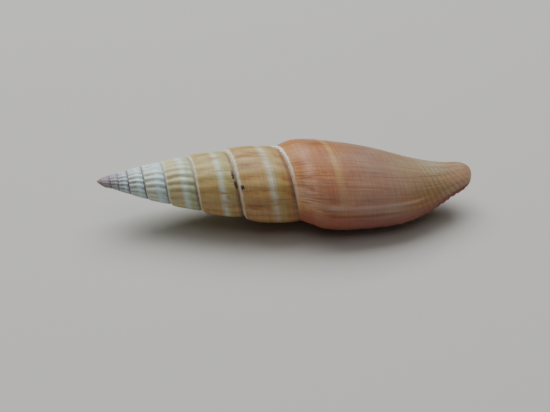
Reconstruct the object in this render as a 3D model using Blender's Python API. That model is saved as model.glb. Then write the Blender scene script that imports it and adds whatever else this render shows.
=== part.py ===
"""A slender, right-handed sea snail shell with a ribbed spire, at rest with its mouth down.

Metres, +Z up. The spire points to -X and the front canal to +X. The shell is one closed body: an
outer skin that winds from the tip of the spire to the outer lip, and a mouth that runs back into it.
"""

import math

import bmesh
import bpy
import numpy as np

MM = 0.001
LENGTH = 69.7
LIP_AZIMUTH = 140.0
TURNS = 10
STEPS = 52
RIBS = 26

# After each full turn: how far the suture lies from the tip of the spire, and its radius.
SUTURE_S = (0.0, 0.0, 1.32, 2.85, 4.16, 6.08, 9.1, 13.03, 18.58, 26.25, 36.55, 47.3)
SUTURE_R = (0.0, 0.0, 0.93, 1.21, 1.65, 2.19, 3.03, 3.86, 5.0, 6.03, 6.73, 7.0)
# How far a whorl swells past its two sutures, and its profile from one suture to the next.
SWELL = (0.0, 0.13, 0.02, 0.02, 0.03, 0.06, 0.1, 0.25, 0.46, 0.88, 1.1, 1.1)
WHORL = ((0, 0), (0.05, 0.5), (0.14, 0.85), (0.3, 1.0), (0.55, 0.88), (0.85, 0.5), (1, 0))

# The last whorl from its suture to the end of the canal: share of the way, and radius.
BODY = (
    (0, 6.73), (0.06, 7.35), (0.14, 8.2), (0.22, 8.36), (0.35, 8.1), (0.5, 7.42),
    (0.64, 6.35), (0.78, 4.75), (0.87, 3.55), (0.94, 2.75), (0.98, 1.8), (1, 0),
)
# The inner side of the mouth and the columella, from the suture to the end of the canal.
COLUMELLA = (
    (0, 6.73), (0.1, 6.2), (0.25, 5.0), (0.4, 4.1), (0.55, 3.4), (0.7, 2.7),
    (0.85, 1.9), (0.94, 1.3), (0.98, 0.8), (1, 0),
)
FRONT = (0.05, 0.11, 0.18, 0.26, 0.35, 0.44, 0.53, 0.62, 0.7, 0.78, 0.85, 0.91, 0.955, 0.985, 1)
# The axis is not quite straight: how far it moves towards the back of the shell.
BEND = ((34, 0), (40, -0.2), (48, -0.35), (55.6, -0.6), (60, -0.2), (64, 0.68), (67.5, 1.6), (70, 1.95))
BEND_AZIMUTH = -45.0

# The mouth: angle over which the last whorl rises from it, depth in turns, and wall.
MOUTH_OPENS = 60.0
MOUTH_DEPTH = 0.3
MOUTH_RINGS = 12
WALL = 1.2
LIP_EDGE = 0.45
# Place along the columella and height of each plait.
PLAITS = ((0.2, 0.75), (0.285, 0.65), (0.36, 0.5), (0.43, 0.4))

# The ridge that an older lip left, and the lengthwise ribs of the spire.
OLD_LIP = 9.83
OLD_LIP_HEIGHT = 0.16
RIB_HEIGHT = ((1.2, 0), (2.5, 0.06), (5, 0.13), (7, 0.18), (8, 0.16), (9, 0.09), (9.6, 0))

# The attitude in which the shell lies still on a table.
REST_PITCH = 2.8
REST_ROLL = -2.0
WORN = 0.35


def smooth(x):
    x = np.clip(x, 0.0, 1.0)
    return x * x * (3 - 2 * x)


def curve(points, x):
    """A smooth curve through the points that doesn't overshoot them."""
    px, py = np.array(points, float).T
    step = np.diff(px)
    slope = np.diff(py) / step
    tangent = np.zeros(len(px))
    same = slope[1:] * slope[:-1] > 0
    w1 = 2 * step[1:] + step[:-1]
    w2 = step[1:] + 2 * step[:-1]
    with np.errstate(divide="ignore", invalid="ignore"):
        mean = (w1 + w2) / (w1 / slope[:-1] + w2 / slope[1:])
    tangent[1:-1] = np.where(same, mean, 0.0)
    tangent[0] = slope[0]
    tangent[-1] = slope[-1]
    x = np.clip(x, px[0], px[-1])
    i = np.clip(np.searchsorted(px, x, side="right") - 1, 0, len(step) - 1)
    t = (x - px[i]) / step[i]
    rest = 1 - t
    return (
        py[i] * rest * rest * (1 + 2 * t)
        + py[i + 1] * t * t * (3 - 2 * t)
        + step[i] * t * rest * (tangent[i] * rest - tangent[i + 1] * t)
    )


def per_turn(values, m):
    return curve(tuple(enumerate(values)), m)


def whorl_radius(m, v):
    chord = (1 - v) * per_turn(SUTURE_R, m) + v * per_turn(SUTURE_R, m + 1)
    return chord + per_turn(SWELL, m) * curve(WHORL, v)


def body_radius(m, s):
    start = per_turn(SUTURE_S, m)
    share = np.clip((s - start) / (LENGTH - start), 0.0, 1.0)
    share = share ** (1 - 0.27 * np.clip(TURNS - m, 0.0, 1.0))
    size = curve(((9, 0.9), (9.12, 0.955), (9.5, 0.985), (10, 1.0)), m)
    at_suture = per_turn(SUTURE_R, m) / BODY[0][1]
    return curve(BODY, share) * (at_suture + (size - at_suture) * smooth(share / 0.12))


def columella_radius(m, q):
    """The inner side of the mouth, which the plaits wind round."""
    radius = curve(COLUMELLA, q) * per_turn(SUTURE_R, m + 1) / COLUMELLA[0][1]
    turned = m - (TURNS - 1)
    for where, height in PLAITS:
        ridge = np.exp(-(((q - where - 0.12 * turned) / 0.022) ** 2))
        radius = radius + height * ridge * smooth((0.1 - turned) / 0.06)
    return radius


def rib(m, v):
    height = curve(RIB_HEIGHT, m) * (0.5 + 0.5 * np.cos(2 * math.pi * RIBS * m))
    return height * smooth(v / 0.12) * smooth((1 - v) / 0.16)


def opened(m):
    """0 at the inner edge of the mouth, and 1 where the last whorl has its full size."""
    left = 1 - np.clip((m - (TURNS - 1)) * 360 / MOUTH_OPENS, 0.0, 1.0)
    return 1 - left * left


def place(s, radius, m):
    """Points before the shell is laid down: the axis is +X and azimuth 0 is up."""
    turn = math.radians(LIP_AZIMUTH) + 2 * math.pi * m
    lean = math.radians(BEND_AZIMUTH)
    aside = curve(BEND, s)
    y = -radius * np.sin(turn) - aside * math.sin(lean)
    z = radius * np.cos(turn) + aside * math.cos(lean)
    return np.stack(np.broadcast_arrays(s, y, z), axis=-1)


def spire_skin(m, v):
    """The outer skin between one suture and the next."""
    top = per_turn(SUTURE_S, m)
    s = top + v * (per_turn(SUTURE_S, m + 1) - top)
    radius = whorl_radius(m, v)
    radius = radius + (body_radius(m, s) - radius) * opened(m)
    radius = radius + rib(m, v) + OLD_LIP_HEIGHT * old_lip(m) * smooth(v / 0.6)
    return place(s, radius, m)


def front_skin(m, q):
    """The outer skin of the last whorl from there to the end of the canal."""
    top = per_turn(SUTURE_S, m + 1)
    s = top + q * (LENGTH - top)
    radius = columella_radius(m, q)
    radius = radius + (body_radius(m, s) - radius) * opened(m)
    radius = radius + OLD_LIP_HEIGHT * old_lip(m + 0.07 * q * q) * smooth((0.7 - q) / 0.25)
    return place(s, radius, m)


def old_lip(m):
    return np.exp(-(((m - OLD_LIP) / 0.014) ** 2))


def mouth_ring(depth, shares):
    """One ring of the mouth, depth turns inside the lip: its ends, outer wall and inner wall."""
    m = TURNS - depth
    inside = smooth(depth / 0.03)
    start = per_turn(SUTURE_S, m)
    first = start + 1.2 * inside
    last = LENGTH - curve(((0, 0), (0.02, 1.5), (0.15, 5), (0.3, 9)), depth)
    ends = np.array([0.0, 1.0])

    def walls(share):
        s = first + share * (last - first)
        outer = body_radius(m, s) - LIP_EDGE - (WALL - LIP_EDGE) * inside
        inner = columella_radius(m - 1, (s - start) / (LENGTH - start))
        room = 0.3 * np.minimum(1.0, 8 * share * (1 - share) + 0.3)
        outer = np.maximum(outer, 0.4)
        return s, outer, np.minimum(inner, outer - room)

    s, outer, inner = walls(ends)
    tips = place(s, (outer + inner) / 2, m)
    s, outer, _ = walls(shares)
    outer = place(s, outer, m)
    s, _, inner = walls(np.array(FRONT[:-1]))
    return tips, outer, place(s, inner, m)


class Skin:
    """Collects points and faces, and leaves out a face that has shrunk to a line."""

    def __init__(self):
        self.points = []
        self.faces = []

    def add(self, points):
        first = len(self.points)
        self.points.extend(map(tuple, np.reshape(points, (-1, 3))))
        return list(range(first, len(self.points)))

    def face(self, *corners):
        kept = [c for i, c in enumerate(corners) if c != corners[i - 1]]
        if len(kept) > 2:
            self.faces.append(kept)

    def strip(self, one, other):
        for i in range(len(one) - 1):
            self.face(one[i], one[i + 1], other[i + 1], other[i])


def shell_skin():
    skin = Skin()
    spire_v = np.array([v for v, _ in WHORL])
    front_q = np.array(FRONT)
    tip = skin.add([(0.0, 0.0, 0.0)])[0]
    front_end = skin.add(front_skin(float(TURNS), 1.0))[0]
    columns = {}
    for j in range(TURNS * STEPS, -1, -1):
        m = j / STEPS
        top = skin.add(spire_skin(m, spire_v[:-1])) if j else [tip] * (len(spire_v) - 1)
        if j <= STEPS:
            top[0] = tip
        if m < TURNS - 1:
            columns[j] = top + [columns[j + STEPS][0]]
            continue
        if j == (TURNS - 1) * STEPS:
            top.append(columns[TURNS * STEPS][0])
        else:
            top += skin.add(spire_skin(m, 1.0))
        columns[j] = top + skin.add(front_skin(m, front_q[:-1])) + [front_end]
    for j in range(TURNS * STEPS):
        kept = min(len(columns[j]), len(columns[j + 1]))
        skin.strip(columns[j + 1][:kept], columns[j][:kept])
    add_mouth(skin, columns, front_end)
    return skin


def add_mouth(skin, columns, front_end):
    lip = columns[TURNS * STEPS]
    inner_lip = columns[(TURNS - 1) * STEPS][len(WHORL) :]
    lip_s = np.array([skin.points[i][0] for i in lip[1:-1]])
    start = SUTURE_S[TURNS]
    shares = (lip_s - start) / (LENGTH - start)
    _, edge, _ = mouth_ring(0.0, shares)
    edge = skin.add(edge)
    skin.strip([lip[0], *edge, front_end], lip)
    outer = [lip[0], *edge, front_end]
    inner = [lip[0], *inner_lip]
    for depth in MOUTH_DEPTH * (np.arange(1, MOUTH_RINGS + 1) / MOUTH_RINGS) ** 1.5:
        tips, wall, columella = mouth_ring(depth, shares)
        first, last = skin.add(tips)
        next_outer = [first, *skin.add(wall), last]
        next_inner = [first, *skin.add(columella), last]
        skin.strip(next_outer, outer)
        skin.strip(inner, next_inner)
        outer = next_outer
        inner = next_inner
    close_mouth(skin, outer, inner)


def close_mouth(skin, outer, inner):
    """Joins the last ring's two walls, always taking the next corner that is less far forward."""
    i = k = 0
    while i < len(outer) - 1 or k < len(inner) - 1:
        far = k == len(inner) - 1 or (
            i < len(outer) - 1 and skin.points[outer[i + 1]][0] < skin.points[inner[k + 1]][0]
        )
        if far:
            skin.face(inner[k], outer[i + 1], outer[i])
            i += 1
        else:
            skin.face(inner[k], inner[k + 1], outer[i])
            k += 1


def laid_down(points):
    """The points at rest, a little worn underneath, with the middle of their box over the origin."""
    points = np.array(points)
    pitch = math.radians(REST_PITCH)
    roll = math.radians(REST_ROLL)
    x, y, z = points.T
    y, z = y * math.cos(roll) - z * math.sin(roll), y * math.sin(roll) + z * math.cos(roll)
    x, z = x * math.cos(pitch) + z * math.sin(pitch), z * math.cos(pitch) - x * math.sin(pitch)
    points = np.stack((x, y, np.maximum(z, z.min() + WORN)), axis=1)
    low = points.min(axis=0)
    high = points.max(axis=0)
    return points - ((low[0] + high[0]) / 2, (low[1] + high[1]) / 2, low[2])


def clear_scene():
    for thing in list(bpy.data.objects):
        bpy.data.objects.remove(thing, do_unlink=True)


def shell_material():
    material = bpy.data.materials.new("shell_glaze")
    material.use_nodes = True
    surface = material.node_tree.nodes["Principled BSDF"]
    surface.inputs["Base Color"].default_value = (0.66, 0.33, 0.18, 1.0)
    surface.inputs["Roughness"].default_value = 0.42
    return material


def main():
    clear_scene()
    skin = shell_skin()
    mesh = bpy.data.meshes.new("shell")
    mesh.from_pydata((laid_down(skin.points) * MM).tolist(), [], skin.faces)
    work = bmesh.new()
    work.from_mesh(mesh)
    bmesh.ops.triangulate(work, faces=work.faces[:])
    bmesh.ops.recalc_face_normals(work, faces=work.faces[:])
    for face in work.faces:
        face.smooth = True
    work.to_mesh(mesh)
    work.free()
    mesh.materials.append(shell_material())
    shell = bpy.data.objects.new("shell", mesh)
    bpy.context.scene.collection.objects.link(shell)


main()
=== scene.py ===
"""A slender sea snail shell with a ribbed spire, lying with its mouth down on a plain pale floor.

Metres, +Z up, in the frame of the CAD model: the spire points to -X and the front canal to +X.
"""

import math

import bpy
import numpy as np
from mathutils import Matrix, Vector


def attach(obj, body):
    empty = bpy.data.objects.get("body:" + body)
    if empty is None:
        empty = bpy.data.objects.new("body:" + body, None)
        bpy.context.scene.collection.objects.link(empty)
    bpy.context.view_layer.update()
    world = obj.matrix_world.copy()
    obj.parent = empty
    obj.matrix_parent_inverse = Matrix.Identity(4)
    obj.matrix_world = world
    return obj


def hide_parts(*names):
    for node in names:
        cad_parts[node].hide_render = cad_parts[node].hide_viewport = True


MM = 0.001

# The shell's form, in millimetres, turns and degrees, as the CAD model has it.
LENGTH = 69.7
LIP_AZIMUTH = 140.0
TURNS = 10
SUTURE_S = (0.0, 0.0, 1.32, 2.85, 4.16, 6.08, 9.1, 13.03, 18.58, 26.25, 36.55, 47.3)
SUTURE_R = (0.0, 0.0, 0.93, 1.21, 1.65, 2.19, 3.03, 3.86, 5.0, 6.03, 6.73, 7.0)
SWELL = (0.0, 0.13, 0.02, 0.02, 0.03, 0.06, 0.1, 0.25, 0.46, 0.88, 1.1, 1.1)
WHORL = ((0, 0), (0.05, 0.5), (0.14, 0.85), (0.3, 1.0), (0.55, 0.88), (0.85, 0.5), (1, 0))
BODY = (
    (0, 6.73), (0.06, 7.35), (0.14, 8.2), (0.22, 8.36), (0.35, 8.1), (0.5, 7.42),
    (0.64, 6.35), (0.78, 4.75), (0.87, 3.55), (0.94, 2.75), (0.98, 1.8), (1, 0),
)
BODY_SIZE = ((9, 0.9), (9.12, 0.955), (9.5, 0.985), (10, 1.0))
BODY_STRETCH = 0.27
COLUMELLA = (
    (0, 6.73), (0.1, 6.2), (0.25, 5.0), (0.4, 4.1), (0.55, 3.4), (0.7, 2.7),
    (0.85, 1.9), (0.94, 1.3), (0.98, 0.8), (1, 0),
)
BEND = (
    (34, 0), (40, -0.2), (48, -0.35), (55.6, -0.6), (60, -0.2), (64, 0.68), (67.5, 1.6), (70, 1.95),
)
BEND_AZIMUTH = -45.0
MOUTH_OPENS = 60.0
MOUTH_DEPTH = 0.3
MOUTH_END_BACK = ((0, 0), (0.02, 1.5), (0.15, 5), (0.3, 9))
WALL = 1.2
LIP_EDGE = 0.45
PLAITS = ((0.2, 0.75), (0.285, 0.65), (0.36, 0.5), (0.43, 0.4))
PLAIT_WIDTH = 0.018
PLAIT_SLANT = 0.12
OLD_LIP = 9.83
OLD_LIP_HEIGHT = 0.12
OLD_LIP_WIDTH = 0.0075
OLD_LIP_LEAN = 0.07
REST_PITCH = 2.8
REST_ROLL = -2.0
BOX_OFFSET = (34.8402, -0.1678, -9.3183)

# How finely the skin is divided.
STEPS = 380
SPIRE_V = (0, 0.02, 0.04, 0.065, 0.1, 0.16, 0.23, 0.32, 0.42, 0.53, 0.64, 0.75, 0.85, 0.92, 0.965)
FRONT_ROWS = (12, 80)
CANAL_FROM = 0.42
MOUTH_RINGS = 22

# Relief that only this model has. Heights and depths are given over the turns, and those of the
# canal's cords over its length.
RIB_COUNT = (
    (0, 0), (3.515, 52.65), (3.915, 59.45), (4.515, 68.99), (4.915, 76.51), (5.515, 87.34),
    (5.915, 95.06), (6.515, 107.28), (6.915, 115.88), (7.515, 127.63), (7.915, 134.63),
    (8.515, 144.91), (8.915, 151.87), (9.715, 165.4), (11, 187),
)
RIB_HEIGHT = (
    (0.9, 0), (1.5, 0.04), (2.5, 0.07), (4.5, 0.13), (6.3, 0.15), (7.4, 0.09), (8.4, 0.12),
    (9, 0.08), (9.5, 0.02), (9.8, 0),
)
RIB_SHARPNESS = ((3, 1.3), (7, 1.0), (9, 0.9))
RIB_BEND = 0.06
RIM_PLACE = 0.036
RIM_WIDTH = 0.023
RIM_HEIGHT = ((3, 0.02), (6, 0.05), (8, 0.1), (9.3, 0.16), (9.62, 0.14), (9.8, 0.0))
GROOVE_WIDTHS = (0.016, 0.03)
GROOVE_DEPTH = ((1.5, 0.0), (5, 0.08), (9, 0.13), (9.75, 0.1), (9.95, 0.0))
CANAL_CORD_HEIGHT = ((0.3, 0.0), (0.5, 0.02), (0.66, 0.06), (0.9, 0.06), (0.97, 0.0))
CORD_SPACING = 1.05
CORD_SLOPE = 7.0
NEAR_LIP = 9.84
LIP_WAVE_HEIGHT = 0.17
LIRAE = 24
LIRA_HEIGHT = 0.07
# The rounded edge of the lip: turns forward of it and millimetres inward.
LIP_ROUNDING = ((0.0012, 0.05), (0.002, 0.14), (0.0022, 0.24), (0.0014, 0.36), (0.0, LIP_EDGE))

# Where the corners of the mouth's outer wall and of the columella lie in the coil's second number.
OUTER_WALL = 3
INNER_WALL = 5


def smooth(x):
    """Smoothly from 0 to 1."""
    x = np.clip(x, 0.0, 1.0)
    return x * x * (3 - 2 * x)


def bell(x, middle, width):
    """1 at the middle, falling off on both sides."""
    return np.exp(-(((x - middle) / width) ** 2))


def wave(x):
    """1 at each whole number, and 0 half-way between."""
    return 0.5 + 0.5 * np.cos(2 * math.pi * x)


def straight(points, x):
    """Straight lines through the points."""
    return np.interp(x, *zip(*points))


def curve(points, x):
    """A smooth curve through the points that doesn't overshoot them."""
    px, py = np.array(points, float).T
    step = np.diff(px)
    slope = np.diff(py) / step
    tangent = np.zeros(len(px))
    same = slope[1:] * slope[:-1] > 0
    w1 = 2 * step[1:] + step[:-1]
    w2 = step[1:] + 2 * step[:-1]
    with np.errstate(divide="ignore", invalid="ignore"):
        mean = (w1 + w2) / (w1 / slope[:-1] + w2 / slope[1:])
    tangent[1:-1] = np.where(same, mean, 0.0)
    tangent[0] = slope[0]
    tangent[-1] = slope[-1]
    x = np.clip(x, px[0], px[-1])
    i = np.clip(np.searchsorted(px, x, side="right") - 1, 0, len(step) - 1)
    t = (x - px[i]) / step[i]
    rest = 1 - t
    return (
        py[i] * rest * rest * (1 + 2 * t)
        + py[i + 1] * t * t * (3 - 2 * t)
        + step[i] * t * rest * (tangent[i] * rest - tangent[i + 1] * t)
    )


def per_turn(values, m):
    """A smooth curve through values that are given for each whole turn."""
    return curve(tuple(enumerate(values)), m)


def wander(x, seed):
    """A smooth irregular line between about -1 and 1."""
    x = np.asarray(x, float) + 17.3 * seed
    waves = np.sin(x) + np.sin(1.73 * x + 1.1) + np.sin(2.91 * x + 0.4) + np.sin(4.87 * x + 2.3)
    return waves / 4


def rib_number(m, v):
    """How many ribs there are from the tip of the spire to here. Each rib is a shallow arc."""
    bent = RIB_BEND * (np.clip(v, 0, 1) - 0.55) ** 2
    return curve(RIB_COUNT, m - bent)


def whorl_radius(m, v):
    """The bulging side of a whorl between its two sutures."""
    chord = (1 - v) * per_turn(SUTURE_R, m) + v * per_turn(SUTURE_R, m + 1)
    return chord + per_turn(SWELL, m) * curve(WHORL, v)


def body_radius(m, s):
    """The last whorl, which runs on to the end of the canal."""
    start = per_turn(SUTURE_S, m)
    share = np.clip((s - start) / (LENGTH - start), 0.0, 1.0)
    share = share ** (1 - BODY_STRETCH * np.clip(TURNS - m, 0.0, 1.0))
    size = curve(BODY_SIZE, m)
    at_suture = per_turn(SUTURE_R, m) / BODY[0][1]
    return curve(BODY, share) * (at_suture + (size - at_suture) * smooth(share / 0.12))


def columella_radius(m, q):
    """The inner side of the mouth, which the plaits wind round."""
    radius = curve(COLUMELLA, q) * per_turn(SUTURE_R, m + 1) / COLUMELLA[0][1]
    turned = m - (TURNS - 1)
    for where, height in PLAITS:
        ridge = np.exp(-(((q - where - PLAIT_SLANT * turned) / PLAIT_WIDTH) ** 2))
        radius = radius + height * ridge * smooth((0.1 - turned) / 0.06)
    return radius


def rib(m, v):
    """Lengthwise ribs, rounder and lower on the later whorls."""
    crest = wave(rib_number(m, v))
    height = curve(RIB_HEIGHT, m) * (1 + 0.2 * wander(9 * m, 3))
    ends = smooth((v + 0.03) / 0.1) * smooth((1 - v) / 0.1)
    return height * crest ** straight(RIB_SHARPNESS, m) * ends


def growth(m, w):
    """Fine lines along the growing edge, on the whorls and up to the lip."""
    near_lip = smooth((m - NEAR_LIP) / 0.05)
    lines = wander(260 * m + 1.5 * w, 1) + 0.6 * wander(560 * m - 2 * w, 2)
    return lines * (0.008 + 0.012 * smooth((m - 8.6) / 0.8) + 0.03 * near_lip)


def suture_rim(m, v):
    """The raised rim that follows the suture, and the narrow groove behind it."""
    upper, lower = GROOVE_WIDTHS
    groove = bell(v, 0, upper) + bell(v, 1, lower) * (m < TURNS - 1)
    rim = straight(RIM_HEIGHT, m) * bell(v, RIM_PLACE, RIM_WIDTH)
    return rim - straight(GROOVE_DEPTH, m) * groove


def below_suture(m, w):
    """How far forward of the suture a place on the outer skin lies, in millimetres."""
    first = per_turn(SUTURE_S, m)
    second = per_turn(SUTURE_S, m + 1)
    down = np.where(w <= 1, w * (second - first), second - first + (w - 1) * (LENGTH - second))
    return np.where(w <= 2, down, 0.0)


def canal_cords(m, q):
    """Cords that wind over the canal more steeply than the coil, and notch the lip."""
    down = below_suture(m, 1 + q) - CORD_SLOPE * m
    height = straight(CANAL_CORD_HEIGHT, q) * (1 + 1.1 * smooth((m - NEAR_LIP) / 0.12))
    return height * wave(down / CORD_SPACING) ** 1.2


def lip_waves(m, s):
    """The edge of the lip is a little uneven."""
    return LIP_WAVE_HEIGHT * smooth((m - 9.92) / 0.07) * wander(2.1 * s, 5)


def old_lip(m):
    """The ridge that an older lip left, and the slightly raised skin round it."""
    step = smooth((m - OLD_LIP + 0.02) / 0.02) * smooth((9.95 - m) / 0.1)
    ridge = OLD_LIP_HEIGHT * bell(m, OLD_LIP, OLD_LIP_WIDTH)
    return ridge + 0.05 * step - 0.05 * bell(m, OLD_LIP + 0.02, 0.01)


def opened(m):
    """0 at the inner edge of the mouth, and 1 where the last whorl has its full size."""
    left = 1 - np.clip((m - (TURNS - 1)) * 360 / MOUTH_OPENS, 0.0, 1.0)
    return 1 - left * left


def place(s, radius, m):
    """Points before the shell is laid down: the axis is +X and azimuth 0 is up."""
    turn = math.radians(LIP_AZIMUTH) + 2 * math.pi * m
    lean = math.radians(BEND_AZIMUTH)
    aside = curve(BEND, s)
    y = -radius * np.sin(turn) - aside * math.sin(lean)
    z = radius * np.cos(turn) + aside * math.cos(lean)
    return np.stack(np.broadcast_arrays(s, y, z), axis=-1)


def spire_skin(m, v):
    """The outer skin between one suture and the next."""
    top = per_turn(SUTURE_S, m)
    s = top + v * (per_turn(SUTURE_S, m + 1) - top)
    radius = whorl_radius(m, v)
    radius = radius + (body_radius(m, s) - radius) * opened(m)
    away = smooth(v / 0.05) * (1 - smooth((v - 0.95) / 0.05) * (m < TURNS - 1))
    radius = radius + rib(m, v) + suture_rim(m, v) + growth(m, v) * away * smooth((m - 1.2) / 0.8)
    radius = radius + lip_waves(m, s) * smooth(v / 0.3)
    return place(s, radius + old_lip(m) * smooth(v / 0.6), m)


def front_skin(m, q):
    """The outer skin of the last whorl from there to the end of the canal."""
    top = per_turn(SUTURE_S, m + 1)
    s = top + q * (LENGTH - top)
    outside = opened(m)
    radius = columella_radius(m, q)
    radius = radius + (body_radius(m, s) - radius) * outside
    fades = smooth((1 - q) / 0.04)
    radius = radius + (growth(m, 1 + q) + canal_cords(m, q) + lip_waves(m, s)) * fades * outside
    return place(s, radius + old_lip(m + OLD_LIP_LEAN * q * q) * smooth((0.7 - q) / 0.25), m)


def mouth_walls(depth, shares, qs):
    """One ring of the mouth, depth turns inside the lip: its ends, outer wall and inner wall."""
    m = TURNS - depth
    inside = smooth(depth / 0.03)
    start = per_turn(SUTURE_S, m)
    first = start + 1.2 * inside
    last = LENGTH - curve(MOUTH_END_BACK, depth)

    def walls(share):
        s = first + share * (last - first)
        lirae = LIRA_HEIGHT * smooth((depth - 0.015) / 0.02) * wave(LIRAE * share)
        sunk = LIP_EDGE + (WALL - LIP_EDGE) * inside + lirae * smooth(share * (1 - share) * 12)
        inner = columella_radius(m - 1, (s - start) / (LENGTH - start))
        room = 0.3 * np.minimum(1.0, 8 * share * (1 - share) + 0.3)
        outer = np.maximum(body_radius(m, s) - sunk, 0.4)
        return s, outer, np.minimum(inner, outer - room)

    s, outer, inner = walls(np.array([0.0, 1.0]))
    tips = place(s, (outer + inner) / 2, m)
    s, outer, _ = walls(shares)
    outer = place(s, outer, m)
    s, _, inner = walls(qs)
    return tips, outer, place(s, inner, m)


class Skin:
    """Collects points and faces. A corner is a point and its place (turns, share) on the coil."""

    def __init__(self):
        self.points = []
        self.faces = []
        self.coil = []

    def add(self, points):
        first = len(self.points)
        self.points.extend(np.reshape(points, (-1, 3)).tolist())
        return list(range(first, len(self.points)))

    def face(self, *corners):
        kept = [c for i, c in enumerate(corners) if c[0] != corners[i - 1][0]]
        if len(kept) > 2:
            self.faces.append([c[0] for c in kept])
            self.coil.extend(c[1:] for c in kept)

    def strip(self, one, other):
        for i in range(min(len(one), len(other)) - 1):
            self.face(one[i], one[i + 1], other[i + 1], other[i])


def with_places(points, m, shares):
    return [(p, m, float(w)) for p, w in zip(points, shares)]


def outer_skin(skin):
    """The coil's columns of points, one for each step of growth."""
    spire_v = np.array(SPIRE_V)
    few, many = FRONT_ROWS
    qs = np.linspace(0, CANAL_FROM, few + 1)[1:]
    qs = np.concatenate((qs, np.linspace(CANAL_FROM, 1, many + 1)[1:]))
    m = np.arange(TURNS * STEPS + 1)[:, None] / STEPS
    tip = skin.add([(0.0, 0.0, 0.0)])[0]
    end = skin.add(front_skin(float(TURNS), 1.0))[0]
    grid = np.array(skin.add(spire_skin(m, spire_v))).reshape(len(m), -1)
    grid[0] = tip
    grid[: STEPS + 1, 0] = tip
    last = m[(TURNS - 1) * STEPS :]
    join = skin.add(spire_skin(last, 1.0))
    join[0] = grid[TURNS * STEPS, 0]
    front = np.array(skin.add(front_skin(last, qs[:-1]))).reshape(len(last), -1)
    columns = []
    for j in range(len(m)):
        places = with_places(grid[j].tolist(), j / STEPS, spire_v)
        k = j - (TURNS - 1) * STEPS
        if k <= 0:
            places.append((int(grid[j + STEPS, 0]), j / STEPS, 1.0))
        else:
            places.append((join[k], j / STEPS, 1.0))
        if k >= 0:
            places += with_places([*front[k].tolist(), end], j / STEPS, 1 + qs)
        columns.append(places)
    return columns, qs, end


def shell_skin():
    skin = Skin()
    columns, qs, end = outer_skin(skin)
    for j in range(TURNS * STEPS):
        skin.strip(columns[j + 1], columns[j])
    add_mouth(skin, columns, qs, end)
    return skin


def add_mouth(skin, columns, qs, end):
    """The rounded edge of the lip and the rings that run in under it."""
    lip_m = float(TURNS)
    lip = [c[0] for c in columns[TURNS * STEPS]]
    inner_lip = [c[0] for c in columns[(TURNS - 1) * STEPS][len(SPIRE_V) + 1 :]]
    start = SUTURE_S[TURNS]
    lip_s = np.array([skin.points[i][0] for i in lip[1:-1]])
    shares = (lip_s - start) / (LENGTH - start)
    outer_w = OUTER_WALL + np.concatenate(([0.0], shares, [1.0]))
    inner_w = INNER_WALL + np.concatenate(([0.0], qs))
    outer = with_places(lip, lip_m, outer_w)
    waves = lip_waves(lip_m, lip_s) * smooth(shares / 0.1) * smooth((1 - shares) / 0.03)
    for out, sunk in LIP_ROUNDING:
        radius = body_radius(lip_m, lip_s) - sunk + waves * (1 - sunk / LIP_EDGE)
        ring = skin.add(place(lip_s, radius, TURNS + out * smooth(shares * (1 - shares) * 30)))
        next_outer = with_places([lip[0], *ring, end], lip_m, outer_w)
        skin.strip(next_outer, outer)
        outer = next_outer
    inner = with_places([lip[0], *inner_lip], lip_m, inner_w)
    for depth in MOUTH_DEPTH * (np.arange(1, MOUTH_RINGS + 1) / MOUTH_RINGS) ** 1.5:
        tips, wall, columella = mouth_walls(depth, shares, qs[:-1])
        first, last = skin.add(tips)
        m = float(TURNS - depth)
        next_outer = with_places([first, *skin.add(wall), last], m, outer_w)
        next_inner = with_places([first, *skin.add(columella), last], m, inner_w)
        skin.strip(next_outer, outer)
        skin.strip(inner, next_inner)
        outer = next_outer
        inner = next_inner
    close_mouth(skin, outer, inner)


def close_mouth(skin, outer, inner):
    """Joins the last ring's two walls, always taking the next corner that is less far forward."""
    i = k = 0
    while i < len(outer) - 1 or k < len(inner) - 1:
        outer_is_next = k == len(inner) - 1 or (
            i < len(outer) - 1
            and skin.points[outer[i + 1][0]][0] < skin.points[inner[k + 1][0]][0]
        )
        if outer_is_next:
            skin.face(inner[k], outer[i + 1], outer[i])
            i += 1
        else:
            skin.face(inner[k], inner[k + 1], outer[i])
            k += 1


def laid_down(points):
    """The points at rest, where the CAD model lies, a little worn underneath."""
    points = np.array(points)
    pitch = math.radians(REST_PITCH)
    roll = math.radians(REST_ROLL)
    x, y, z = points.T
    y, z = y * math.cos(roll) - z * math.sin(roll), y * math.sin(roll) + z * math.cos(roll)
    x, z = x * math.cos(pitch) + z * math.sin(pitch), z * math.cos(pitch) - x * math.sin(pitch)
    points = np.stack((x, y, z), axis=1) - BOX_OFFSET
    points[:, 2] = np.maximum(points[:, 2], 0.0)
    return points


# Where the marks of the shell's colour lie: bands in shares of a whorl and lines in turns.
PALE_BAND = 0.615
GREEN_EDGE = 0.74
YELLOW_THREAD = 0.76
RIDGE_LINE = 9.829
STAIN_LINE = 9.866
PAUSE_LINE = 9.716
# The dark specks: turns, half their length in turns, share of the whorl and half their width.
SPECKS = ((7.708, 0.026, 0.93, 0.05), (7.757, 0.022, 0.96, 0.05), (8.768, 0.014, 0.075, 0.045))
# How many streaks, finer hairs and waves of the bands there are to a turn, about.
STREAKS = 34.0
HAIRS = 150.0
BAND_WAVES = 12.0


def tone(red, green, blue):
    """A surface colour from screen values between 0 and 255."""
    values = np.array((red, green, blue)) / 255
    linear = np.where(values <= 0.04045, values / 12.92, ((values + 0.055) / 1.055) ** 2.4)
    return (*linear.tolist(), 1.0)


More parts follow.
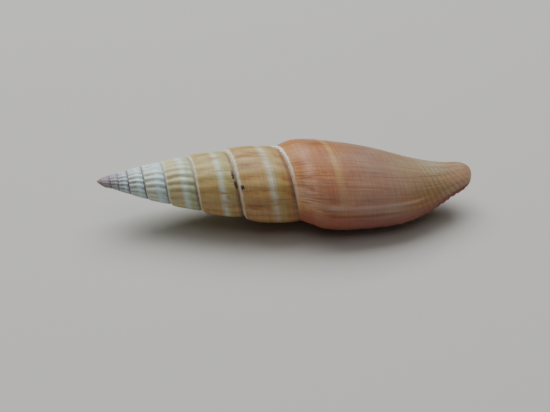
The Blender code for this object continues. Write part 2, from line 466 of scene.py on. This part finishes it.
class Nodes:
    """Short names for the nodes of one material."""

    # The sockets of a mix node that take and give colours.
    MIX_SHARE = 0
    MIX_FIRST = 6
    MIX_SECOND = 7
    MIX_RESULT = 2

    def __init__(self, material):
        self.tree = material.node_tree
        self.tree.nodes.clear()

    def node(self, kind, **settings):
        made = self.tree.nodes.new(kind)
        for name, value in settings.items():
            setattr(made, name, value)
        return made

    def put(self, socket, value):
        if isinstance(value, bpy.types.NodeSocket):
            self.tree.links.new(value, socket)
        else:
            socket.default_value = value

    def split(self, vector):
        made = self.node("ShaderNodeSeparateXYZ")
        self.put(made.inputs[0], vector)
        return made.outputs[0], made.outputs[1]

    def vector(self, x, y, z=0.0):
        made = self.node("ShaderNodeCombineXYZ")
        for socket, value in zip(made.inputs, (x, y, z)):
            self.put(socket, value)
        return made.outputs[0]

    def math(self, operation, a, b=0.0, c=0.0, clamp=False):
        made = self.node("ShaderNodeMath", operation=operation, use_clamp=clamp)
        for socket, value in zip(made.inputs, (a, b, c)):
            self.put(socket, value)
        return made.outputs[0]

    def add(self, a, b):
        return self.math("ADD", a, b)

    def times(self, a, *others):
        for b in others:
            a = self.math("MULTIPLY", a, b)
        return a

    def one_less(self, a):
        """1 minus a."""
        return self.math("SUBTRACT", 1.0, a)

    def rise(self, x, start, end, low=0.0, high=1.0):
        """Smoothly from low at start to high at end."""
        made = self.node("ShaderNodeMapRange", interpolation_type="SMOOTHSTEP", clamp=True)
        for socket, value in zip(made.inputs, (x, start, end, low, high)):
            self.put(socket, value)
        return made.outputs[0]

    def hump(self, x, middle, half):
        """1 at the middle, and 0 from half away."""
        away = self.math("ABSOLUTE", self.math("SUBTRACT", x, middle))
        return self.rise(away, 0.0, half, 1.0, 0.0)

    def wave(self, x, length=1.0):
        """1 at 0 and at each whole length, and 0 half-way between."""
        turned = self.times(x, 2 * math.pi / length)
        return self.add(self.times(self.math("COSINE", turned), 0.5), 0.5)

    def mix(self, share, a, b, blend="MIX"):
        made = self.node("ShaderNodeMix", data_type="RGBA", blend_type=blend, clamp_factor=True)
        self.put(made.inputs[self.MIX_SHARE], share)
        self.put(made.inputs[self.MIX_FIRST], a)
        self.put(made.inputs[self.MIX_SECOND], b)
        return made.outputs[self.MIX_RESULT]

    def noise(self, vector, scale=1.0, detail=2.0, roughness=0.5):
        made = self.node("ShaderNodeTexNoise", noise_dimensions="3D")
        self.put(made.inputs["Vector"], vector)
        self.put(made.inputs["Scale"], scale)
        self.put(made.inputs["Detail"], detail)
        self.put(made.inputs["Roughness"], roughness)
        return made.outputs[0]

    def ramp(self, x, stops):
        """Colours or grey values along x, which runs from 0 to 1."""
        made = self.node("ShaderNodeValToRGB")
        elements = made.color_ramp.elements
        while len(elements) < len(stops):
            elements.new(0.5)
        for element, (position, value) in zip(elements, stops):
            element.position = position
            element.color = value if isinstance(value, tuple) else (value, value, value, 1.0)
        self.put(made.inputs[0], x)
        return made.outputs[0]


class ShellNodes(Nodes):
    """The places on the shell and the noises that its colours share.

    m counts the turns from the tip of the spire to the lip. w runs from 0 at a suture to 1 at the
    next one and to 2 at the end of the canal, and is higher in the mouth.
    """

    def __init__(self, material):
        super().__init__(material)
        self.m, self.w = self.split(self.corner_values("coil"))
        ribs, self.down = self.split(self.corner_values("ribs"))
        self.crest = self.wave(ribs)

        scaled = self.node("ShaderNodeVectorMath", operation="SCALE")
        self.put(scaled.inputs[0], self.node("ShaderNodeTexCoord").outputs["Object"])
        scaled.inputs["Scale"].default_value = 1 / MM
        self.mm = scaled.outputs[0]
        self.cloud = self.noise(self.mm, 0.35, 3.0)
        self.fine = self.noise(self.mm, 2.2, 4.0, 0.6)

        # Noises drawn out along the lip, and one along the coil.
        self.streak = self.noise(self.on_coil(STREAKS, 1.3), 1.0, 4.0, 0.62)
        self.hair = self.noise(self.on_coil(HAIRS, 2.5, 4.0), 1.0, 3.0, 0.6)
        along_thread = self.vector(self.times(self.m, 6.0), self.times(self.down, 4.2), 2.0)
        self.thread = self.noise(along_thread, 1.0, 3.0, 0.6)

        # Uneven versions of w, for the bands and for the suture.
        waves = self.noise(self.on_coil(BAND_WAVES, 1.0, 9.0))
        self.wobble = self.times(self.add(waves, -0.5), 0.05)
        self.at = self.add(self.w, self.wobble)
        self.ragged = self.add(self.w, self.times(self.add(self.fine, -0.5), 0.06))

        # A version of m in which the lip's slant towards the canal is taken out.
        past = self.math("MAXIMUM", self.add(self.w, -1.0), 0.0)
        self.leaning = self.add(self.m, self.times(self.math("POWER", past, 2.0), OLD_LIP_LEAN))

    def corner_values(self, name):
        return self.node("ShaderNodeUVMap", uv_map=name).outputs[0]

    def on_coil(self, along, across, layer=0.0):
        return self.vector(self.times(self.m, along), self.times(self.w, across), layer)

    def over_turns(self, stops):
        """A ramp whose places are numbers of turns."""
        return self.ramp(self.times(self.m, 1 / TURNS), [(turn / TURNS, v) for turn, v in stops])

    def over_last_whorl(self, stops):
        """A ramp whose places are values of w."""
        return self.ramp(self.times(self.w, 0.5), [(w / 2, value) for w, value in stops])


def whorl_colour(n):
    """Bluish and cream early whorls that get ochre, each darker in its lower half; on the earliest,
    painted violet shade towards the next suture.
    """
    upper = n.over_turns([
        (0.5, tone(168, 152, 154)), (2.2, tone(176, 164, 170)), (3.2, tone(190, 196, 206)),
        (4.4, tone(214, 230, 230)), (5.6, tone(230, 246, 234)), (6.6, tone(216, 215, 174)),
        (7.5, tone(196, 184, 126)), (8.4, tone(193, 171, 114)), (9.0, tone(190, 156, 106)),
    ])
    lower = n.over_turns([
        (0.5, tone(146, 130, 138)), (2.2, tone(162, 156, 172)), (3.2, tone(196, 210, 226)),
        (4.4, tone(216, 236, 244)), (5.6, tone(208, 240, 248)), (6.6, tone(192, 204, 174)),
        (7.5, tone(178, 176, 124)), (8.4, tone(182, 154, 92)), (9.0, tone(180, 138, 86)),
    ])
    colour = n.mix(n.rise(n.at, 0.55, 0.75), upper, lower)

    # Painted shade: the earliest whorls are darkened to violet towards the next suture.
    violet = n.times(n.rise(n.m, 1.0, 1.8), n.rise(n.m, 4.4, 3.4), n.rise(n.at, 0.6, 0.9))
    colour = n.mix(n.times(violet, 0.35), colour, tone(126, 108, 142))

    warm = n.over_turns([
        (5.6, 0.0), (6.8, 0.2), (8.0, 0.15), (8.6, 0.06), (8.76, 0.06), (8.88, 0.35), (9.0, 0.2),
    ])
    warm = n.times(warm, n.rise(n.cloud, 0.42, 0.62), n.rise(n.at, 0.62, 0.5))
    colour = n.mix(warm, colour, tone(190, 116, 62))

    bronze = n.over_turns([
        (7.74, 0.0), (7.84, 0.24), (7.95, 0.24), (8.1, 0.0),
        (8.77, 0.0), (8.87, 0.14), (8.95, 0.12), (9.0, 0.0),
    ])
    bronze = n.times(bronze, n.rise(n.streak, 0.25, 0.6, 0.7, 1.0))
    return n.mix(bronze, colour, tone(190, 100, 46))


def add_rib_gap_tone_and_shade(n, colour):
    """The gaps between the ribs darkened, partly their own tone and partly painted shade, least of
    all on the pale band.
    """
    gap_tone_and_shade = n.over_turns([
        (0.5, tone(112, 94, 102)), (3.0, tone(96, 84, 92)), (4.6, tone(104, 96, 88)),
        (5.6, tone(134, 126, 98)), (6.7, tone(150, 130, 88)), (7.6, tone(166, 128, 74)),
        (8.6, tone(150, 96, 52)),
    ])
    share = n.over_turns([
        (0.9, 0.0), (1.5, 0.35), (2.4, 0.55), (4.6, 0.6), (5.6, 0.52),
        (6.8, 0.5), (7.5, 0.42), (8.5, 0.58), (8.9, 0.65), (9.3, 0.0),
    ])
    patchy = n.rise(n.add(n.fine, n.times(n.streak, 0.8)), 0.6, 1.15, 1.25, 0.4)
    off_crest = n.math("POWER", n.one_less(n.crest), 1.5)
    off_band = n.one_less(n.times(n.hump(n.at, 0.62, 0.2), 0.65))
    # Partly the gaps' own darker tone, partly painted shade between the ribs.
    gap_tone_and_shade_share = n.times(off_crest, n.times(share, patchy))
    return n.mix(n.times(gap_tone_and_shade_share, off_band, n.rise(n.w, 0.04, 0.14)), colour, gap_tone_and_shade)


def add_pale_band(n, colour):
    """The band in the middle of each whorl, brightest on the ribs, with a greener edge."""
    late = n.times(n.rise(n.m, 6.4, 7.0), n.rise(n.m, 9.1, 8.9))
    green = n.times(n.hump(n.at, GREEN_EDGE, 0.1), late)
    colour = n.mix(n.times(green, 0.32), colour, tone(190, 192, 128))

    half = n.over_turns([
        (3.0, 0.19), (4.4, 0.21), (5.4, 0.26), (6.5, 0.19), (7.5, 0.14), (8.5, 0.115),
    ])
    away = n.math("ABSOLUTE", n.add(n.at, -PALE_BAND))
    near = n.math("SUBTRACT", 1.0, n.math("DIVIDE", away, half), clamp=True)
    pale = n.over_turns([
        (2.5, 0.1), (4.0, 0.6), (5.4, 0.85), (7.0, 0.8), (8.0, 0.72),
        (8.75, 0.65), (8.9, 0.4), (9.3, 0.0),
    ])
    broken = n.add(n.times(n.crest, 0.45), n.times(n.rise(n.streak, 0.35, 0.62), 0.55))
    band = n.times(n.rise(near, 0.0, 1.0), pale, n.rise(broken, 0.1, 0.7, 0.3, 1.0))
    whiter = n.over_turns([
        (5.0, tone(216, 248, 255)), (6.8, tone(214, 240, 240)), (8.5, tone(216, 226, 214)),
    ])
    return n.mix(band, colour, whiter)


def add_suture_line_and_shade(n, colour):
    """The dark line in the suture, partly the shell's own line and partly painted shade in the
    suture's hollow.
    """
    ahead = n.over_turns([
        (1.5, 0.4), (3.0, 0.7), (4.6, 0.85), (5.6, 0.6), (6.6, 0.45), (7.5, 0.6),
        (8.8, 0.6), (9.0, 0.0),
    ])
    behind = n.over_turns([(2.0, 0.1), (3.4, 0.35), (4.4, 0.8), (5.6, 0.65), (6.3, 0.0)])
    ahead = n.times(n.rise(n.ragged, 0.88, 0.975), ahead)
    behind = n.times(n.rise(n.ragged, 0.1, 0.02), behind)
    # Painted shade in the suture, over the shell's own dark line.
    line = n.times(n.math("MAXIMUM", ahead, behind), n.rise(n.w, 1.02, 1.0))
    return n.mix(line, colour, tone(92, 68, 76))


def add_last_whorl(n, colour):
    """The salmon last whorl, with redder and paler patches, an ochre front and a pale tip."""
    last = n.over_last_whorl([
        (0.0, tone(190, 148, 92)), (0.12, tone(192, 136, 78)), (0.28, tone(194, 134, 82)),
        (0.4, tone(179, 124, 77)), (0.58, tone(167, 107, 63)), (0.88, tone(170, 119, 77)),
        (1.16, tone(150, 118, 100)), (1.44, tone(154, 132, 105)), (1.68, tone(152, 134, 98)),
        (1.86, tone(172, 142, 112)), (2.0, tone(180, 140, 112)),
    ])
    middle = n.times(n.rise(n.w, 0.08, 0.2), n.rise(n.w, 1.6, 1.2))
    mauve = n.times(n.hump(n.m, 9.78, 0.14), middle)
    last = n.mix(n.times(mauve, 0.5), last, tone(190, 148, 132))
    blush = n.times(n.hump(n.m, 9.68, 0.14), n.hump(n.w, 0.3, 0.14))
    blush = n.times(blush, n.rise(n.streak, 0.3, 0.6, 0.35, 0.6))
    last = n.mix(blush, last, tone(212, 168, 148))
    colour = n.mix(n.rise(n.add(n.m, n.times(n.wobble, 0.6)), 8.98, 9.04), colour, last)

    started = n.rise(n.m, 8.9, 9.2)
    redder = n.times(n.rise(n.cloud, 0.46, 0.64), started, n.rise(n.w, 1.1, 0.7, 0.1, 0.26))
    colour = n.mix(redder, colour, tone(184, 92, 50))
    paler = n.times(n.rise(n.cloud, 0.5, 0.36), started, n.rise(n.w, 1.1, 0.7, 0.1, 0.2))
    colour = n.mix(paler, colour, tone(206, 164, 134))

    worn = n.times(n.hump(n.m, 9.785, 0.09), n.rise(n.w, 0.46, 0.2))
    colour = n.mix(n.times(worn, 0.5), colour, tone(228, 190, 164))
    ochre = n.times(n.hump(n.m, 9.83, 0.09), n.hump(n.w, 1.54, 0.3))
    colour = n.mix(n.times(ochre, 0.6), colour, tone(178, 112, 44))
    bleached = n.times(n.hump(n.m, 9.6, 0.14), n.hump(n.w, 1.66, 0.2))
    colour = n.mix(n.times(bleached, 0.5), colour, tone(196, 194, 168))
    tip = n.times(n.hump(n.m, 9.77, 0.12), n.rise(n.w, 1.62, 1.86))
    colour = n.mix(n.times(tip, 0.6), colour, tone(212, 172, 146))

    # Partly the last whorl's own tone, partly painted light and shade: darker from the back over the
    # upper side, lighter low on the front.
    shade = n.over_turns([
        (8.9, 0.96), (9.2, 0.86), (9.66, 0.85), (9.77, 1.06), (9.85, 1.16), (10.0, 1.1),
    ])
    return n.mix(1.0, colour, shade, "MULTIPLY")


def add_cords_and_threads(n, colour):
    """The canal's cords, which its relief has too, and fine threads that follow the coil."""
    cord = n.wave(n.add(n.down, n.times(n.m, -CORD_SLOPE)), CORD_SPACING)
    canal = n.times(n.rise(n.w, 1.35, 1.6), n.rise(n.w, 1.95, 1.8))
    between = n.times(n.one_less(cord), canal, n.rise(n.fine, 0.35, 0.6, 0.15, 0.5))
    colour = n.mix(between, colour, tone(140, 96, 60))

    threads = n.rise(n.m, 6.5, 8.0)
    light = n.times(n.rise(n.thread, 0.5, 0.76, 0.0, 0.26), threads)
    colour = n.mix(light, colour, tone(222, 186, 152))
    dark = n.times(n.rise(n.thread, 0.47, 0.3, 0.0, 0.3), threads)
    return n.mix(dark, colour, tone(146, 84, 56))


def add_growth_streaks(n, colour):
    """Light and dark streaks along the growing edge, browner on the last whorls of the spire."""
    light = n.mix(1.0, colour, tone(250, 226, 200), "SOFT_LIGHT")
    deep = n.mix(1.0, colour, tone(178, 116, 84), "MULTIPLY")
    stained = n.times(n.rise(n.m, 6.2, 7.2), n.rise(n.m, 9.05, 8.95))
    colour = n.mix(n.rise(n.streak, 0.52, 0.72, 0.0, 0.45), colour, light)
    browner = n.times(n.rise(n.streak, 0.49, 0.3), n.add(0.3, n.times(stained, 0.12)))
    colour = n.mix(browner, colour, deep)

    near_lip = n.times(n.rise(n.m, 9.64, 9.72), n.hump(n.w, 0.32, 0.4))
    hairs = n.add(0.2, n.times(near_lip, 0.4))
    colour = n.mix(n.times(n.rise(n.hair, 0.53, 0.66), hairs), colour, light)
    return n.mix(n.times(n.rise(n.hair, 0.47, 0.34), hairs), colour, deep)


def add_yellow_thread(n, colour):
    """The thin pale yellow band round the last whorl."""
    yellow = n.over_turns([
        (8.98, 0.0), (9.04, 0.3), (9.45, 0.36), (9.6, 0.58), (9.68, 0.48), (9.8, 0.1), (9.9, 0.0),
    ])
    yellow = n.times(yellow, n.rise(n.streak, 0.3, 0.6, 0.45, 1.0))
    return n.mix(n.times(n.hump(n.at, YELLOW_THREAD, 0.085), yellow), colour, tone(204, 172, 100))


def add_white_rim(n, colour):
    """The white rim of the suture."""
    white = n.over_turns([
        (4.4, 0.3), (6.4, 0.6), (7.7, 0.8), (7.9, 0.4), (8.4, 0.8), (8.72, 0.85), (8.84, 0.3),
        (9.0, 0.9), (9.58, 1.0), (9.74, 0.3), (9.88, 0.0),
    ])
    rim = n.times(n.rise(n.ragged, 0.062, 0.046), n.rise(n.ragged, 0.006, 0.02), white)
    rim = n.times(rim, n.rise(n.streak, 0.34, 0.5, 0.7, 1.0))
    return n.mix(rim, colour, tone(238, 234, 224))


def add_lip_side(n, colour):
    """The redder skin near the lip, darker towards the canal partly from painted shade, the older
    lip's ridge and the pauses in growth beside it.
    """
    late = n.rise(n.m, NEAR_LIP, 9.9)
    colour = n.mix(n.times(late, 0.65), colour, tone(158, 82, 80))
    # Red-brown towards the canal: partly its own colour, partly painted shade on the side that faces
    # down.
    colour = n.mix(n.times(late, n.rise(n.w, 1.35, 1.7), 0.5), colour, tone(150, 70, 38))
    colour = n.mix(n.times(late, n.rise(n.w, 1.66, 1.86), 0.6), colour, tone(130, 44, 18))

    ends = n.times(n.rise(n.w, 0.3, 0.6), n.rise(n.w, 1.66, 1.4))
    ridge = n.times(n.hump(n.leaning, RIDGE_LINE, 0.014), ends)
    ridge = n.times(ridge, n.add(0.34, n.times(n.hump(n.w, 0.56, 0.2), 0.26)))
    colour = n.mix(ridge, colour, tone(202, 180, 172))

    ends = n.times(n.rise(n.w, 0.35, 0.6), n.rise(n.w, 1.5, 1.2))
    stain = n.times(n.hump(n.leaning, STAIN_LINE, 0.012), ends)
    colour = n.mix(n.times(stain, 0.55), colour, tone(118, 60, 40))
    pause = n.times(n.hump(n.leaning, PAUSE_LINE, 0.004), n.rise(n.w, 0.05, 0.15))
    return n.mix(n.times(pause, 0.35), colour, tone(120, 76, 54))


def add_mouth_gloss(n, colour, inside):
    """The glossy inside of the mouth, which gets deeper in colour away from the lip."""
    deepest = n.rise(n.m, 10.0, 9.93)
    gloss = n.mix(deepest, tone(232, 190, 150), tone(226, 150, 104))
    plaits = n.rise(n.w, 4.9, 5.0)
    gloss = n.mix(plaits, gloss, tone(236, 196, 158))
    return n.mix(inside, colour, gloss)


def add_dirt_and_suture_shade(n, colour):
    """Patchy darkening in the sutures, partly dirt and partly painted shade, three darker specks of
    dirt and a grey smudge.
    """
    # Partly dirt, partly painted shade in the spire's sutures.
    suture_dirt_and_shade = n.times(n.rise(n.noise(n.mm, 1.6, 5.0, 0.7), 0.52, 0.7), n.hump(n.w, 0.97, 0.1))
    colour = n.mix(n.times(suture_dirt_and_shade, n.rise(n.m, 9.0, 8.8, 0.0, 0.5)), colour, tone(96, 74, 60))
    uneven = n.add(n.noise(n.mm, 3.5, 3.0, 0.7), -0.5)
    for turn, long, share, wide in SPECKS:
        along = n.math("DIVIDE", n.add(n.m, -turn), long)
        across = n.math("DIVIDE", n.add(n.w, -share), wide)
        spot = n.add(n.times(along, along), n.times(across, across))
        spot = n.rise(n.add(spot, n.times(uneven, 3.0)), 0.75, 0.35)
        colour = n.mix(n.times(spot, 0.9), colour, tone(38, 34, 34))
    smudge = n.times(n.hump(n.m, 7.815, 0.022), n.hump(n.at, 0.72, 0.07))
    return n.mix(n.times(smudge, 0.5), colour, tone(112, 120, 118))


def fine_bump(n):
    """Growth lines and threads that are too fine for the mesh."""
    height = n.add(n.add(n.times(n.hair, 0.25), n.times(n.fine, 0.12)), n.times(n.thread, 0.3))
    bump = n.node("ShaderNodeBump")
    bump.inputs["Strength"].default_value = 0.35
    bump.inputs["Distance"].default_value = 0.00012
    n.put(bump.inputs["Height"], height)
    return bump.outputs[0]


def shell_material():
    material = bpy.data.materials.new("shell_glaze")
    material.use_nodes = True
    n = ShellNodes(material)
    inside = n.rise(n.w, 2.4, 2.6)

    colour = whorl_colour(n)
    colour = add_rib_gap_tone_and_shade(n, colour)
    colour = add_pale_band(n, colour)
    colour = add_suture_line_and_shade(n, colour)
    colour = add_last_whorl(n, colour)
    colour = add_cords_and_threads(n, colour)
    colour = add_growth_streaks(n, colour)
    colour = add_yellow_thread(n, colour)
    colour = add_white_rim(n, colour)
    colour = add_lip_side(n, colour)
    colour = add_mouth_gloss(n, colour, inside)
    colour = add_dirt_and_suture_shade(n, colour)
    rough = n.rise(n.add(n.cloud, n.times(n.fine, 0.5)), 0.4, 1.1, 0.42, 0.6)

    surface = n.node("ShaderNodeBsdfPrincipled")
    n.put(surface.inputs["Base Color"], colour)
    n.put(surface.inputs["Roughness"], n.math("SUBTRACT", rough, n.times(inside, 0.16)))
    n.put(surface.inputs["Normal"], fine_bump(n))
    surface.inputs["IOR"].default_value = 1.42
    surface.inputs["Coat Weight"].default_value = 0.06
    surface.inputs["Coat Roughness"].default_value = 0.35
    n.put(n.node("ShaderNodeOutputMaterial").inputs[0], surface.outputs[0])
    return material


def add_corner_values(mesh, name, values):
    layer = mesh.uv_layers.new(name=name)
    layer.data.foreach_set("uv", values.astype(np.float32).ravel())


def make_shell():
    skin = shell_skin()
    mesh = bpy.data.meshes.new("shell_skin")
    mesh.from_pydata((laid_down(skin.points) * MM).tolist(), [], skin.faces)
    coil = np.array(skin.coil, np.float32)
    counted = np.stack((rib_number(coil[:, 0], coil[:, 1]), below_suture(*coil.T)), axis=1)
    add_corner_values(mesh, "coil", coil)
    add_corner_values(mesh, "ribs", counted)
    mesh.polygons.foreach_set("use_smooth", np.ones(len(mesh.polygons), bool))
    mesh.materials.append(shell_material())
    mesh.update()
    shell = bpy.data.objects.new("shell_skin", mesh)
    bpy.context.scene.collection.objects.link(shell)
    return shell


def make_floor():
    half = 1.2
    mesh = bpy.data.meshes.new("floor")
    corners = [(-half, -half, 0), (half, -half, 0), (half, half, 0), (-half, half, 0)]
    mesh.from_pydata(corners, [], [(0, 1, 2, 3)])
    material = bpy.data.materials.new("pale_floor")
    material.use_nodes = True
    surface = material.node_tree.nodes["Principled BSDF"]
    surface.inputs["Base Color"].default_value = tone(192, 189, 185)
    surface.inputs["Roughness"].default_value = 0.8
    mesh.materials.append(material)
    floor = bpy.data.objects.new("floor", mesh)
    bpy.context.scene.collection.objects.link(floor)
    return floor


def area_light(name, where, size, power, colour):
    """A rectangular light that faces the shell."""
    data = bpy.data.lights.new(name, "AREA")
    data.shape = "RECTANGLE"
    data.size, data.size_y = size
    data.energy = power
    data.color = colour
    light = bpy.data.objects.new(name, data)
    light.location = where
    light.rotation_mode = "QUATERNION"
    light.rotation_quaternion = (-Vector(where)).to_track_quat("-Z", "Y")
    bpy.context.scene.collection.objects.link(light)


def make_lights():
    """A cool window behind the shell, a weaker light above it and a faint warm surround."""
    cool = (0.95, 0.99, 1.0)
    warm = (1.0, 0.99, 0.96)
    area_light("window", where=(-0.06, 0.29, 0.57), size=(0.8, 0.4), power=5.6, colour=cool)
    area_light("ceiling", where=(0.0, 0.02, 0.6), size=(0.7, 0.5), power=1.25, colour=warm)
    world = bpy.data.worlds.new("room")
    bpy.context.scene.world = world
    world.use_nodes = True
    back = world.node_tree.nodes["Background"]
    back.inputs["Color"].default_value = (1.0, 0.96, 0.9, 1.0)
    back.inputs["Strength"].default_value = 0.06


# The camera turns about a point on the shell's axis, in millimetres from the tip of the spire. Its
# focal length and shift are in pixels of the photograph.
CAMERA_PIVOT = (35.0, 0.0, 0.0)
CAMERA_YAW = 11.736
CAMERA_ELEVATION = 43.0
CAMERA_ROLL = 6.536
CAMERA_DISTANCE = 144.114
CAMERA_FOCUS_PIXELS = 792.0
CAMERA_SHIFT = (18.84, -29.77)
IMAGE_WIDTH = 550


def make_camera():
    yaw = math.radians(CAMERA_YAW)
    rise = math.radians(CAMERA_ELEVATION)
    roll = math.radians(CAMERA_ROLL)
    ahead = Vector((math.sin(yaw) * math.cos(rise), math.cos(yaw) * math.cos(rise), -math.sin(rise)))
    level = Vector((math.cos(yaw), -math.sin(yaw), 0))
    steep = level.cross(ahead)
    right = level * math.cos(roll) + steep * math.sin(roll)
    up = steep * math.cos(roll) - level * math.sin(roll)
    pivot = Vector(CAMERA_PIVOT) - Vector(BOX_OFFSET)
    where = (pivot - ahead * CAMERA_DISTANCE) * MM
    data = bpy.data.cameras.new("camera")
    data.sensor_width = 36.0
    data.lens = CAMERA_FOCUS_PIXELS * data.sensor_width / IMAGE_WIDTH
    data.shift_x = -CAMERA_SHIFT[0] / IMAGE_WIDTH
    data.shift_y = CAMERA_SHIFT[1] / IMAGE_WIDTH
    data.clip_start = 0.005
    data.clip_end = 10
    camera = bpy.data.objects.new("camera", data)
    turn = Matrix((right, up, -ahead)).transposed()
    camera.matrix_world = Matrix.Translation(where) @ turn.to_4x4()
    bpy.context.scene.collection.objects.link(camera)
    bpy.context.scene.camera = camera


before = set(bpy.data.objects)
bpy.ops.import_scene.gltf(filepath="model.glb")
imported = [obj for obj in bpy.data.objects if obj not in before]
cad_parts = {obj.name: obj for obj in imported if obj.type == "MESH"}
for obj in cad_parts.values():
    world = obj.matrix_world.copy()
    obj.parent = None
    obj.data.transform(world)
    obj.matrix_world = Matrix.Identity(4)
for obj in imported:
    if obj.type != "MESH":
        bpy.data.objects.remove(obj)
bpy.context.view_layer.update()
make_camera()
shell = make_shell()
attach(shell, "root")
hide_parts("shell")
make_floor()
make_lights()
